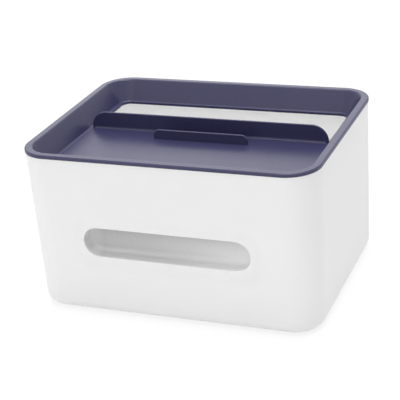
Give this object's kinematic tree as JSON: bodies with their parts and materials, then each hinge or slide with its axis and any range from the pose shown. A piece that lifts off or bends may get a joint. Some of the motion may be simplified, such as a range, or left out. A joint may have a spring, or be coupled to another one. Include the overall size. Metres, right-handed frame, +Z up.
{
  "type": "tissue box with drawer",
  "caption": "White desk tissue box with a finger-pull front drawer under a lift-off navy tray, which has a phone slot, an upright divider and a tissue opening at the back.",
  "frame": {"origin": "on the standing surface, under the middle of the box", "axes": "+X along the length, -Y out of the drawer front, +Z up"},
  "size_m": [0.26, 0.2, 0.146],
  "materials": {
    "white_shell": "satin-gloss moulded",
    "white_inner": "satin moulded",
    "navy": "fine satin moulded",
    "runner": "waxy, low friction",
    "rubber": "matt",
    "steel": "zinc plated"
  },
  "bodies": {
    "casing": {"casing": "white_shell", "bay_divider": "white_inner", "runner_left": "runner", "runner_right": "runner", "runner_screws": "steel", "foot_front_left": "rubber", "foot_front_right": "rubber", "foot_rear_left": "rubber", "foot_rear_right": "rubber"},
    "drawer": {"drawer_front": "white_shell", "drawer_box": "white_inner", "drawer_front_screws": "steel"},
    "tray": {"top_tray": "navy"}
  },
  "joints": [
    {"name": "drawer_slide", "type": "slide", "parent": "casing", "child": "drawer", "axis": [0, -1, 0], "range_m": [0, 0.0645]},
    {"name": "tray_lift", "type": "slide", "parent": "casing", "child": "tray", "axis": [0, 0, 1], "range_m": [0, 0.06]}
  ]
}
